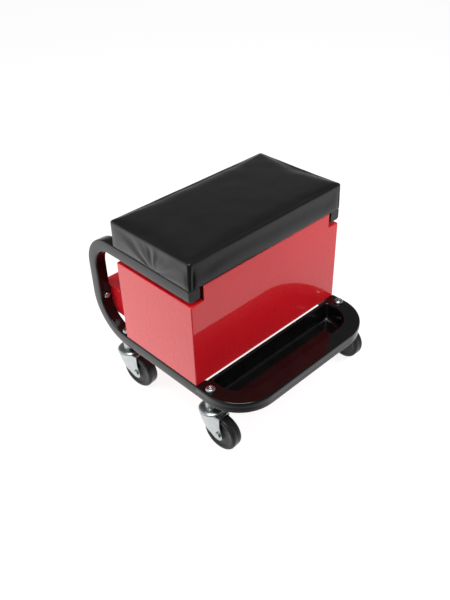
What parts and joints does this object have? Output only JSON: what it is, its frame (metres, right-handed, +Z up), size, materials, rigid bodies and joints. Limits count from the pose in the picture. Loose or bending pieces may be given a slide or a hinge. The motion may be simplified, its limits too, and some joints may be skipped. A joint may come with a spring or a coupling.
{
  "type": "mechanics creeper seat",
  "caption": "Rolling creeper seat: bent square-tube frame on swivel casters, padded black seat, red steel cabinet with rear-opening drawers, and a black parts tray in front.",
  "frame": {"origin": "on the floor, under the middle of the whole object's bounding box", "axes": "+Z up, +X along the seat to the right seen from the tray side, +Y to the rear, the side where the drawers open"},
  "size_m": [0.3766, 0.3846, 0.3485],
  "materials": {
    "black_paint": "gloss black enamel",
    "red_paint": "high gloss red enamel",
    "zinc": "bright zinc plating",
    "steel": "plain bright steel",
    "black_vinyl": "satin black leathercloth",
    "plywood": "raw plywood",
    "black_plastic": "satin moulded plastic",
    "wheel_rubber": "satin hard rubber"
  },
  "bodies": {
    "frame": {"arm_plug_left": "black_plastic", "arm_plug_right": "black_plastic", "cabinet_back": "red_paint", "cabinet_screw_front_left": "zinc", "cabinet_screw_front_right": "zinc", "cabinet_screw_rear_left": "zinc", "cabinet_screw_rear_right": "zinc", "cabinet_shell": "red_paint", "caster_race_front_left": "zinc", "caster_race_front_right": "zinc", "caster_race_rear_left": "zinc", "caster_race_rear_right": "zinc", "caster_screw_front_left": "zinc", "caster_screw_front_right": "zinc", "caster_screw_rear_left": "zinc", "caster_screw_rear_right": "zinc", "drawer_guide_left": "zinc", "drawer_guide_right": "zinc", "drawer_housing": "red_paint", "drawer_shelf": "red_paint", "frame_tube": "black_paint", "housing_bolt_left": "zinc", "housing_bolt_right": "zinc", "housing_nut_left": "zinc", "housing_nut_right": "zinc", "seat_board": "plywood", "seat_bolt_front_left": "zinc", "seat_bolt_front_right": "zinc", "seat_bolt_rear_left": "zinc", "seat_bolt_rear_right": "zinc", "seat_cushion": "black_vinyl", "tray": "black_paint"},
    "lower_drawer": {"lower_drawer_pan": "red_paint", "lower_drawer_face": "red_paint"},
    "upper_drawer": {"upper_drawer_pan": "red_paint", "upper_drawer_face": "red_paint"},
    "swivel_front_left": {"caster_fork_front_left": "zinc", "axle_front_left": "zinc", "axle_nut_front_left": "zinc"},
    "roller_front_left": {"wheel_front_left": "wheel_rubber", "wheel_bush_front_left": "steel"},
    "swivel_front_right": {"caster_fork_front_right": "zinc", "axle_front_right": "zinc", "axle_nut_front_right": "zinc"},
    "roller_front_right": {"wheel_front_right": "wheel_rubber", "wheel_bush_front_right": "steel"},
    "swivel_rear_left": {"caster_fork_rear_left": "zinc", "axle_rear_left": "zinc", "axle_nut_rear_left": "zinc"},
    "roller_rear_left": {"wheel_rear_left": "wheel_rubber", "wheel_bush_rear_left": "steel"},
    "swivel_rear_right": {"caster_fork_rear_right": "zinc", "axle_rear_right": "zinc", "axle_nut_rear_right": "zinc"},
    "roller_rear_right": {"wheel_rear_right": "wheel_rubber", "wheel_bush_rear_right": "steel"}
  },
  "joints": [
    {"name": "lower_drawer_slide", "type": "slide", "parent": "frame", "child": "lower_drawer", "axis": [0, 1, 0], "range_m": [0, 0.2]},
    {"name": "upper_drawer_slide", "type": "slide", "parent": "frame", "child": "upper_drawer", "axis": [0, 1, 0], "range_m": [0, 0.12]},
    {"name": "swivel_front_left_turn", "type": "hinge", "parent": "frame", "child": "swivel_front_left", "pos_m": [-0.1665, -0.113, 0.0695], "axis": [0, 0, 1], "continuous": true},
    {"name": "swivel_front_right_turn", "type": "hinge", "parent": "frame", "child": "swivel_front_right", "pos_m": [0.1665, -0.113, 0.0695], "axis": [0, 0, 1], "continuous": true},
    {"name": "swivel_rear_left_turn", "type": "hinge", "parent": "frame", "child": "swivel_rear_left", "pos_m": [-0.1665, 0.107, 0.0695], "axis": [0, 0, 1], "continuous": true},
    {"name": "swivel_rear_right_turn", "type": "hinge", "parent": "frame", "child": "swivel_rear_right", "pos_m": [0.1665, 0.107, 0.0695], "axis": [0, 0, 1], "continuous": true},
    {"name": "roller_front_left_turn", "type": "hinge", "parent": "swivel_front_left", "child": "roller_front_left", "pos_m": [-0.16438, -0.13721, 0.033], "axis": [0.9962, 0.0872, 0], "continuous": true},
    {"name": "roller_front_right_turn", "type": "hinge", "parent": "swivel_front_right", "child": "roller_front_right", "pos_m": [0.1665, -0.1373, 0.033], "axis": [1, 0, 0], "continuous": true},
    {"name": "roller_rear_left_turn", "type": "hinge", "parent": "swivel_rear_left", "child": "roller_rear_left", "pos_m": [-0.16312, 0.08294, 0.033], "axis": [0.9903, 0.1392, 0], "continuous": true},
    {"name": "roller_rear_right_turn", "type": "hinge", "parent": "swivel_rear_right", "child": "roller_rear_right", "pos_m": [0.16312, 0.08294, 0.033], "axis": [0.9903, -0.1392, 0], "continuous": true}
  ]
}
